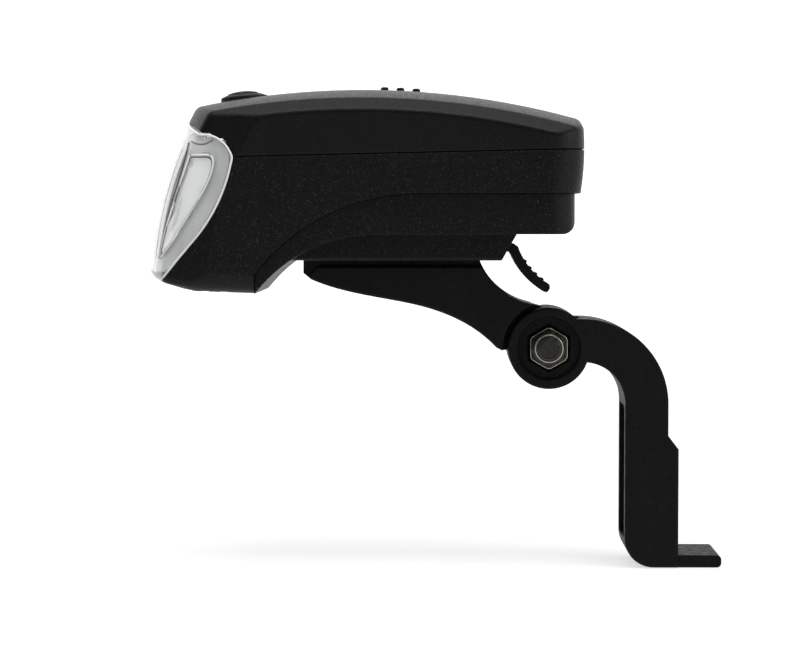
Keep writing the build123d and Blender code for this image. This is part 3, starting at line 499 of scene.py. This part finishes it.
class HEADLIGHT_OT_stage(bpy.types.Operator):
    """Make the camera, the lights, the floor and the backdrop."""

    bl_idname = "headlight.stage"
    bl_label = "Stage"

    def execute(self, context):
        stage = context.scene.headlight_stage
        self.camera(context, stage)
        self.sweep()
        self.room(context, stage)
        for name, (place, target, width, height, power) in SOFTBOXES.items():
            self.softbox(name, place, target, width, height, getattr(stage, power))
        return {"FINISHED"}

    def camera(self, context, stage):
        """Long lens from the near side, a little above the lamp."""
        data = bpy.data.cameras.new("camera")
        data.lens, data.sensor_width = stage.focal_length, SENSOR_WIDTH
        data.clip_start, data.clip_end = 0.01, 20
        camera = bpy.data.objects.new("camera", data)
        context.scene.collection.objects.link(camera)
        camera.location = CAMERA_PLACE
        aim = Vector(CAMERA_AIM) - camera.location
        camera.rotation_euler = aim.to_track_quat("-Z", "Y").to_euler()
        context.scene.camera = camera
        context.scene.view_settings.view_transform = "Standard"

    def softbox(self, name, place, target, width, height, power):
        """Area light at a place, facing a target."""
        data = bpy.data.lights.new(name, "AREA")
        data.shape, data.size, data.size_y, data.energy = "RECTANGLE", width, height, power
        light = bpy.data.objects.new(name, data)
        bpy.context.scene.collection.objects.link(light)
        light.location = place
        light.rotation_euler = (Vector(target) - Vector(place)).to_track_quat("-Z", "Y").to_euler()

    def sweep(self):
        """Floor that runs up into a backdrop in one bend."""
        floor_gap, steps = 0.0002, 16
        floor = cad_low.z - floor_gap
        front, back, bend, high, half = -1.8, 1.1, 0.4, 1.8, 1.8
        line = [(front, floor), (back, floor)]
        for i in range(1, steps + 1):
            turn = math.pi / 2 * i / steps
            line.append((back + bend * math.sin(turn), floor + bend * (1 - math.cos(turn))))
        line.append((back + bend, high))
        points = [(x, y, z) for y, z in line for x in (-half, half)]
        faces = [(2 * i, 2 * i + 1, 2 * i + 3, 2 * i + 2) for i in range(len(line) - 1)]
        piece = sheet("backdrop", points, faces)
        piece.data.materials.append(self.sweep_material())

    def sweep_material(self):
        """Matte pale grey that glows white to the camera away from the object, and keeps its shadow."""
        cloud_size, dark, light = 0.05, (0.50, 0.50, 0.50), (0.52, 0.52, 0.52)
        glow_start, glow_stop, glow_low, glow_high = 0.15, 0.9, 0.62, 0.95
        material = bpy.data.materials.new("pale_sweep")
        material.use_nodes = True
        tree = material.node_tree
        tree.nodes.clear()
        output = tree.nodes.new("ShaderNodeOutputMaterial")
        both = tree.nodes.new("ShaderNodeAddShader")
        matte = tree.nodes.new("ShaderNodeBsdfDiffuse")
        glow = tree.nodes.new("ShaderNodeEmission")
        tree.links.new(clouded(tree, cloud_size, 3.0, dark, light), matte.inputs["Color"])
        seen = tree.nodes.new("ShaderNodeLightPath")
        rays = joined(tree, "MAXIMUM", seen.outputs["Is Camera Ray"], seen.outputs["Is Glossy Ray"])
        rays = joined(tree, "MAXIMUM", rays, seen.outputs["Is Transmission Ray"])
        place = tree.nodes.new("ShaderNodeTexCoord")
        away = tree.nodes.new("ShaderNodeVectorMath")
        away.operation = "LENGTH"
        tree.links.new(place.outputs["Object"], away.inputs[0])
        glowing = spread(tree, away.outputs["Value"], glow_low, glow_high, glow_start, glow_stop)
        tree.links.new(joined(tree, "MULTIPLY", rays, glowing), glow.inputs["Strength"])
        tree.links.new(matte.outputs["BSDF"], both.inputs[0])
        tree.links.new(glow.outputs["Emission"], both.inputs[1])
        tree.links.new(both.outputs["Shader"], output.inputs["Surface"])
        return material

    def room(self, context, stage):
        """White behind the object and a dim room behind the camera."""
        lit_far, mirrored_far = 0.65, 0.9
        world = bpy.data.worlds.new("studio")
        world.use_nodes = True
        tree = world.node_tree
        tree.nodes.clear()
        output = tree.nodes.new("ShaderNodeOutputWorld")
        light = tree.nodes.new("ShaderNodeBackground")
        light.inputs["Color"].default_value = (1, 1, 1, 1)
        place = tree.nodes.new("ShaderNodeTexCoord")
        parts = tree.nodes.new("ShaderNodeSeparateXYZ")
        tree.links.new(place.outputs["Generated"], parts.inputs["Vector"])
        lit = spread(tree, parts.outputs["Y"], stage.room, lit_far, start=-0.35, stop=0.45)
        mirrored = spread(tree, parts.outputs["Y"], stage.dark_card, mirrored_far, start=-0.3, stop=0.55)
        seen = tree.nodes.new("ShaderNodeLightPath")
        clear = joined(tree, "MAXIMUM", seen.outputs["Is Camera Ray"], seen.outputs["Is Transmission Ray"])
        either = tree.nodes.new("ShaderNodeMix")
        tree.links.new(seen.outputs["Is Glossy Ray"], either.inputs["Factor"])
        tree.links.new(lit, either.inputs["A"])
        tree.links.new(mirrored, either.inputs["B"])
        tree.links.new(joined(tree, "MAXIMUM", clear, either.outputs["Result"]), light.inputs["Strength"])
        tree.links.new(light.outputs["Background"], output.inputs["Surface"])
        context.scene.world = world


class HEADLIGHT_OT_bracket(bpy.types.Operator):
    """Finish the fork crown bracket and the holder arm."""

    bl_idname = "headlight.bracket"
    bl_label = "Bracket and arm"

    def execute(self, context):
        finish = context.scene.headlight_finish
        smooth = moulded_plastic(
            "bracket_plastic", finish.bracket_colour, roughness=0.56, grain=0.0009, depth=0.000012,
            gloss=0.13, specks=0.004, edge=0.0003)
        dress("fork_bracket", smooth)
        dress("holder_arm", smooth)
        return {"FINISHED"}


class HEADLIGHT_OT_tilt_bolt(bpy.types.Operator):
    """Finish the tilt bolt, its nut and the nylon ring, and cut the bolt's thread."""

    bl_idname = "headlight.tilt_bolt"
    bl_label = "Tilt bolt and nut"

    def execute(self, context):
        finish, trim = context.scene.headlight_finish, context.scene.headlight_trim
        steel = plated_metal("plated_steel", finish.steel_colour, roughness=0.24)
        dress("pivot_bolt", steel)
        dress("pivot_nut", steel)
        nylon = moulded_plastic(
            "dark_nylon", (0.004, 0.0042, 0.0048), roughness=0.35, grain=0.0006, depth=0.00001)
        dress("nut_nylon_ring", nylon)
        low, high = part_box("pivot_bolt")
        axis = Vector(((low.x + high.x) / 2, 0, (low.z + high.z) / 2))
        self.thread(axis, low.y, trim, steel)
        self.nut_edges(axis, low.y, trim, finish, nylon)
        return {"FINISHED"}

    def thread(self, axis, bolt_end, trim, steel):
        """The last turns of the bolt's thread, past the nut."""
        radius, crest, first_turn, turns, around = 0.00246, 0.00012, 0.0006, 2, 24
        start = bolt_end + first_turn
        points = []
        for i in range(turns * around + 1):
            turn = 2 * math.pi * i / around
            points.append(axis + Vector((radius * math.cos(turn), start + trim.thread_pitch * i / around,
                                         radius * math.sin(turn))))
        settle(tube("bolt_thread", points, crest, False, trim.bead_sides), "bracket", steel)

    def nut_edges(self, axis, bolt_end, trim, finish, nylon):
        """The nut's edges, its collar, and the turned end of the bolt, drawn as beads of bright steel that
        paint their highlights.
        """
        glint_share, corner_share, chamfer_share = 13, 0.955, 0.09
        edge_depth, edge_bead = 0.0011, 0.00010
        # brighter steel that paints the glints on the nut's and the bolt's edges
        edge_glint = plated_metal("worn_steel", tinted(finish.steel_colour, glint_share), roughness=0.3)
        low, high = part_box("pivot_nut")
        face = Vector((axis.x, low.y, axis.z))
        corner = (high.z - low.z) / 2
        points = []
        for i in range(6):
            turn = math.pi * (i / 3 + 0.5)
            spot = Vector((math.cos(turn), 0, math.sin(turn))) * corner * corner_share
            aside = Vector((-math.sin(turn), 0, math.cos(turn))) * corner * chamfer_share
            points += [face + spot - aside, face + spot + aside]
        depth = Vector((0, edge_depth, 0))
        settle(tube("nut_corner_edge", [p + depth for p in points], edge_bead, True, trim.bead_sides),
               "bracket", edge_glint)
        # each ring's face, its depth behind that face, its radius and its bead
        # the collar and bolt-end rings are painted highlights; the nylon lip is the ring's own edge
        rings = {
            "nut_collar_edge": (low.y, 0.0001, 0.00300, 0.00017, edge_glint),
            "nylon_lip": (bolt_end, 0.0004, 0.00226, 0.00030, nylon),
            "bolt_end_edge": (bolt_end, 0.0001, 0.00190, 0.00010, edge_glint),
        }
        for name, (face_y, behind, radius, bead, material) in rings.items():
            middle = Vector((axis.x, face_y + behind, axis.z))
            settle(ring(name, middle, radius, bead, trim.bead_sides), "bracket", material)


class HEADLIGHT_OT_housing(bpy.types.Operator):
    """Finish the lamp's body, its tray and the tray's screws."""

    bl_idname = "headlight.housing"
    bl_label = "Body and tray"

    def execute(self, context):
        finish = context.scene.headlight_finish
        textured = moulded_plastic(
            "housing_plastic", finish.housing_colour, roughness=0.46, grain=finish.grain,
            depth=finish.grain_depth, gloss=0.15, specks=0.03, edge=0.0004)
        dress("housing_body", textured)
        dress("bottom_tray", textured)
        dress("tray_screws", plated_metal("screw_steel", tinted(finish.steel_colour, 8), roughness=0.34))
        return {"FINISHED"}


class HEADLIGHT_OT_cover(bpy.types.Operator):
    """Finish the sliding cover, the button and the release lever."""

    bl_idname = "headlight.cover"
    bl_label = "Cover, button and lever"

    def execute(self, context):
        finish = context.scene.headlight_finish
        dress("battery_cover", moulded_plastic(
            "cover_plastic", finish.cover_colour, roughness=0.44, grain=finish.grain,
            depth=finish.grain_depth / 3, gloss=0.20, specks=0.012, edge=0.0003))
        dress("power_button", moulded_plastic(
            "button_rubber", finish.rubber_colour, roughness=0.6, grain=0.0005, depth=0.00002,
            gloss=0.2, specks=0.004, edge=0.0003))
        dress("release_lever", moulded_plastic(
            "lever_plastic", finish.bracket_colour, roughness=0.45, grain=0.0007, depth=0.000015,
            gloss=0.13, specks=0.004, edge=0.0003))
        return {"FINISHED"}


class HEADLIGHT_OT_lens(bpy.types.Operator):
    """Finish the lens, and add its bright rim, which is a painted highlight, and the lines round the leaf
    windows, in painted highlight and painted shade.
    """

    bl_idname = "headlight.lens"
    bl_label = "Lens"

    def execute(self, context):
        finish, trim = context.scene.headlight_finish, context.scene.headlight_trim
        tint = finish.lens_colour
        # the bright finish paints highlights: pale beads where light catches the lens's edges and lines
        bright = clear_plastic("lens_edge", tinted(tint, 1.2), roughness=0.12, clearness=0.1)
        finishes = {
            "bright": bright,
            # the shadow finish is dark lens plastic that paints shade in grooves and streaks
            "shadow": clear_plastic("lens_groove", tinted(tint, 0.16), roughness=0.2, clearness=0.2),
            "lining": clear_plastic(
                "wing_lining", tinted(tint, 1.03), roughness=0.3, clearness=0.0, ripple=0.009),
            "pale": clear_plastic(
                "leaf_pane", tinted(tint, 0.94), roughness=0.1, clearness=0.05, ripple=0.009),
            # the soft finish is half-dark lens plastic that paints shade along the flutes
            "soft": clear_plastic("lens_flute", tinted(tint, 0.5), roughness=0.15, clearness=0.3),
        }
        dress("lens", clear_plastic("lens_plastic", tint, roughness=0.05, clearness=finish.lens_clearness))
        shell = surface_tree("lens")
        around = [shell, surface_tree("housing_body"), surface_tree("battery_cover")]
        for side, word in ((-1, "near"), (1, "far")):
            self.wing(side, word, shell, around, trim, finishes)
        # a bright bead along the lens's top edge, a painted highlight
        brow = [self.brow_point(y * MM, around) for y in BROW_PLACES]
        settle(tube("lens_rim_top", smoothed(brow, False, 3), trim.rim_bead, False, trim.bead_sides),
               "lamp", bright)
        return {"FINISHED"}

    def wing(self, side, word, shell, around, trim, finishes):
        """The rim's painted highlight, the leaf window with its lines of painted highlight and painted
        shade, the streaks of painted shade and the flutes in painted highlight and shade, on one side of the
        lens.
        """
        edge = [EDGE_TOP, EDGE_BROW, *arc_through(EDGE_KNEE, EDGE_BEND, EDGE_BACK),
                *arc_through(EDGE_BACK, EDGE_MIDDLE, EDGE_LOW, 10)[1:], EDGE_FOOT, EDGE_BOTTOM]
        edge = [(x + EDGE_SHIFT[0], z + EDGE_SHIFT[1]) for x, z in edge]
        bead = trim.leaf_bead
        rim_lift, leaf_lift = trim.rim_bead * 0.3, bead * 0.2
        corner_sink, top_sink, flute_sink = bead * 0.4, bead * 0.2, bead
        groove_share, pane_share = 0.94, 0.93
        rim = evened(on_side(smoothed(edge, False, 3), around, side, rim_lift))
        outline = smoothed(LEAF, True, 4)
        leaf = on_side(outline, [shell], side, leaf_lift)
        groove = on_side(shrunk(outline, groove_share), [shell], side, 0)
        # painted shade along the front corner and under the reflector's top
        corner = on_side(smoothed(CORNER_SHADE_LINE, False, 3), [shell], side, -corner_sink)
        top_shade_line = on_side(smoothed(REFLECTOR_SHADE_LINE, False, 4), [shell], side, -top_sink)
        self.pane(f"leaf_pane_{word}", shrunk(outline, pane_share), shell, side, finishes["pale"])
        self.liner(f"wing_liner_{word}", edge, shell, side, finishes["lining"])
        # the flutes are drawn as two lines of painted shade with a line of painted highlight between them
        flutes = [smoothed(on_front(FLUTE_HEIGHTS, side * y, shell, -flute_sink), False, 3)
                  for y in FLUTE_PLACES]
        # each line's points, its bead, whether it is closed, and its finish; bright paints a highlight,
        # shadow and soft paint shade
        lines = {
            "lens_rim": (rim, trim.rim_bead, False, "bright"),
            "leaf_line": (leaf, bead, True, "bright"),
            "leaf_groove": (groove, bead * 0.6, True, "shadow"),
            "corner_streak": (corner, bead * 1.3, False, "shadow"),
            "reflector_line": (top_shade_line, bead * 0.8, False, "shadow"),
            "front_flute_a": (flutes[0], bead * 1.8, False, "soft"),
            "front_flute_b": (flutes[1], bead * 0.9, False, "bright"),
            "front_flute_c": (flutes[2], bead * 1.2, False, "soft"),
        }
        for name, (line, radius, closed, finish) in lines.items():
            piece = tube(f"{name}_{word}", line, radius, closed, trim.bead_sides)
            settle(piece, "lamp", finishes[finish])

    def pane(self, name, outline, shell, side, material):
        """The bright window inside a leaf's outline, laid on the floor of its recess."""
        shares = (1, 0.66, 0.33)
        lines = [shrunk(outline, share) for share in shares]
        spots = [p for line in lines for p in on_side(line, [shell], side, PANE_LIFT)]
        spots += on_side(shrunk(outline, 0)[:1], [shell], side, PANE_LIFT)
        count = len(outline)
        faces = []
        for i in range(count):
            after = (i + 1) % count
            faces += [(k + i, k + after, k + count + after, k + count + i) for k in (0, count)]
            faces.append((2 * count + i, 2 * count + after, 3 * count))
        settle(sheet(name, spots, faces), "lamp", material)

    def liner(self, name, edge, shell, side, material):
        """The bright skirt behind a wing, from the front corner back to the S-shaped edge."""
        def across(line, z):
            for (x0, z0), (x1, z1) in zip(line, line[1:]):
                if min(z0, z1) <= z <= max(z0, z1) and z0 != z1:
                    return x0 + (x1 - x0) * (z - z0) / (z1 - z0)
            raise RuntimeError(f"the wing has no edge at {z}")
        corner = (CORNER_TOP, *CORNER_SHADE_LINE, CORNER_FOOT)
        rows, columns = 18, 8
        spots = []
        for i in range(rows + 1):
            z = LINER_LOW + (LINER_HIGH - LINER_LOW) * i / rows
            front, back = across(corner, z), across(edge, z) - LINER_GAP
            line = [(front + (back - front) * k / columns, z) for k in range(columns + 1)]
            spots += on_side(line, [shell], side, -LINER_DEPTH)
        wide = columns + 1
        faces = [(i * wide + k, i * wide + k + 1, (i + 1) * wide + k + 1, (i + 1) * wide + k)
                 for i in range(rows) for k in range(columns)]
        settle(sheet(name, spots, faces), "lamp", material)

    def brow_point(self, y, trees):
        """Where the lens's top edge, which falls away behind the nose, crosses the front at this y."""
        fall = (EDGE_TOP[1] - EDGE_KNEE[1]) / (EDGE_KNEE[0] - EDGE_TOP[0])
        z = EDGE_TOP[1] * MM
        for _ in range(5):
            start = Vector((cad_low.x - RAY_AHEAD, y, z))
            hits = [tree.ray_cast(start, Vector((1, 0, 0)))[0] for tree in trees]
            spot = min((hit for hit in hits if hit is not None), key=lambda hit: hit.x)
            z = EDGE_TOP[1] * MM - fall * (spot.x - EDGE_TOP[0] * MM)
        return Vector((spot.x, y, z))


class HEADLIGHT_OT_optics(bpy.types.Operator):
    """Finish the reflector, the emitter, its board and the heat sink."""

    bl_idname = "headlight.optics"
    bl_label = "Optics"

    def execute(self, context):
        dress("reflector", mirror_coat("reflector_coat", (0.86, 0.87, 0.88)))
        powder_size, dark, light = 0.0008, (0.85, 0.72, 0.2), (0.95, 0.85, 0.4)
        material, tree, shader = start_material("emitter_phosphor")
        tree.links.new(clouded(tree, powder_size, 2.0, dark, light), shader.inputs["Base Color"])
        shader.inputs["Roughness"].default_value = 0.2
        dress("led_emitter", material)
        dress("led_board", moulded_plastic(
            "white_mask", (0.75, 0.75, 0.73), roughness=0.4, grain=0.0004, depth=0.00001))
        dress("heat_sink", plated_metal(
            "bare_aluminium", (0.72, 0.73, 0.75), roughness=0.38, brush=(6, 1, 1)))
        return {"FINISHED"}


class HEADLIGHT_OT_inside(bpy.types.Operator):
    """Finish the board, the switch, the cells, the cradle and the contacts."""

    bl_idname = "headlight.inside"
    bl_label = "Inside"

    def execute(self, context):
        dress("main_board", moulded_plastic(
            "board_mask", (0.01, 0.10, 0.035), roughness=0.35, grain=0.0005, depth=0.00001))
        dress("push_switch", moulded_plastic(
            "switch_plastic", (0.02, 0.02, 0.02), roughness=0.4, grain=0.0004, depth=0.00001))
        dress("battery_cradle", moulded_plastic(
            "cradle_plastic", (0.014, 0.014, 0.015), roughness=0.5, grain=0.0006, depth=0.00002))
        sleeve = self.cell_sleeve()
        dress("front_cell", sleeve)
        dress("rear_cell", sleeve)
        self.board_parts()
        nickel = plated_metal("nickel_plate", (0.66, 0.63, 0.57), roughness=0.26)
        for node in ("front_contacts", "bridge_contact", "contact_springs"):
            dress(node, nickel)
        return {"FINISHED"}

    def cell_sleeve(self):
        """Dark printed sleeve of the cells, with a pale band towards the front."""
        band_share, band_blur = 0.3, 0.0001
        dark, light, pale = (0.010, 0.014, 0.03), (0.014, 0.02, 0.045), (0.42, 0.42, 0.41)
        cloud_size, gloss_size, streak_size, streak_depth = 0.004, 0.001, 0.0007, 0.00001
        sleeve, tree, shader = start_material("cell_sleeve")
        place = tree.nodes.new("ShaderNodeTexCoord")
        parts = tree.nodes.new("ShaderNodeSeparateXYZ")
        tree.links.new(place.outputs["Object"], parts.inputs["Vector"])
        low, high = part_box("front_cell")
        band = low.x + (high.x - low.x) * band_share
        wrap = clouded(tree, cloud_size, 2.0, dark, light)
        wrap = blended(tree, spread(tree, parts.outputs["X"], 0, 1, band + band_blur, band), wrap, pale)
        tree.links.new(wrap, shader.inputs["Base Color"])
        tree.links.new(spread(tree, noise(tree, gloss_size), 0.24, 0.36), shader.inputs["Roughness"])
        bumps(tree, shader, noise(tree, streak_size, 2.0, (0.2, 1, 1)), streak_depth)
        return sleeve

    def board_parts(self):
        """The small parts soldered beside the switch."""
        low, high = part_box("main_board")
        x, top = (low.x + high.x) / 2, high.z
        black = moulded_plastic(
            "chip_plastic", (0.012, 0.012, 0.013), roughness=0.45, grain=0.0003, depth=0.000005)
        ceramic = moulded_plastic(
            "ceramic", (0.34, 0.25, 0.16), roughness=0.5, grain=0.0003, depth=0.000005)
        tinned = plated_metal("tinned_legs", (0.62, 0.62, 0.60), roughness=0.3)
        copper = plated_metal("coil_copper", (0.72, 0.36, 0.18), roughness=0.3)
        chip_y, chip_lift, chip_size, chip_chamfer = 0.0100, 0.00055, (0.0048, 0.0040, 0.0010), 0.00012
        leg_start, leg_step, leg_reach, leg_lift = 0.0018, 0.0012, 0.0023, 0.00022
        leg_size, leg_chamfer = (0.0005, 0.0009, 0.0004), 0.00006
        row_start, row_step, row_y, row_lift = 0.0024, 0.0016, -0.0062, 0.0003
        capacitor_size, capacitor_chamfer = (0.0008, 0.0015, 0.0006), 0.00008
        coil_y, coil_radius, coil_lift, coil_step, wire = -0.0108, 0.0018, 0.0003, 0.0005, 0.00026
        chip = chamfered_block("driver_chip", (x, chip_y, top + chip_lift), chip_size, chip_chamfer)
        settle(chip, "lamp", black)
        for i in range(4):
            for side, word in ((-1, "near"), (1, "far")):
                spot = (x - leg_start + leg_step * i, chip_y + side * leg_reach, top + leg_lift)
                leg = chamfered_block(f"chip_leg_{i}_{word}", spot, leg_size, leg_chamfer)
                settle(leg, "lamp", tinned)
            spot = (x - row_start + row_step * i, row_y, top + row_lift)
            capacitor = chamfered_block(f"chip_capacitor_{i}", spot, capacitor_size, capacitor_chamfer)
            settle(capacitor, "lamp", ceramic)
        for i in range(3):
            turn = ring(f"coil_turn_{i}", Vector((0, 0, 0)), coil_radius, wire, 8)
            height = top + coil_lift + coil_step * i
            for vertex in turn.data.vertices:
                vertex.co = (x + vertex.co.x, coil_y + vertex.co.z, height + vertex.co.y)
            settle(turn, "lamp", copper)


class HEADLIGHT_PT_parts(bpy.types.Panel):
    """Lists the parts of the headlight."""

    bl_idname = "HEADLIGHT_PT_parts"
    bl_label = "Bike Headlight"
    bl_space_type = "VIEW_3D"
    bl_region_type = "UI"
    bl_category = "Headlight"

    def draw(self, context):
        layout = self.layout
        for operator in operators:
            layout.operator(operator.bl_idname)
        for group_name, group in groups.items():
            box = layout.box()
            for name in group.__annotations__:
                box.prop(getattr(context.scene, group_name), name)


groups = {
    "headlight_finish": HeadlightFinish,
    "headlight_trim": HeadlightTrim,
    "headlight_stage": HeadlightStage,
}
operators = (
    HEADLIGHT_OT_stage, HEADLIGHT_OT_bracket, HEADLIGHT_OT_tilt_bolt, HEADLIGHT_OT_housing,
    HEADLIGHT_OT_cover, HEADLIGHT_OT_lens, HEADLIGHT_OT_optics, HEADLIGHT_OT_inside,
)


def register():
    for name, group in groups.items():
        bpy.utils.register_class(group)
        setattr(bpy.types.Scene, name, PointerProperty(type=group))
    for operator in operators:
        bpy.utils.register_class(operator)
    bpy.utils.register_class(HEADLIGHT_PT_parts)


def unregister():
    bpy.utils.unregister_class(HEADLIGHT_PT_parts)
    for operator in reversed(operators):
        bpy.utils.unregister_class(operator)
    for name, group in groups.items():
        delattr(bpy.types.Scene, name)
        bpy.utils.unregister_class(group)


def main():
    register()
    for operator in operators:
        area, step = operator.bl_idname.split(".")
        getattr(getattr(bpy.ops, area), step)()


if __name__ == "__main__":
    main()
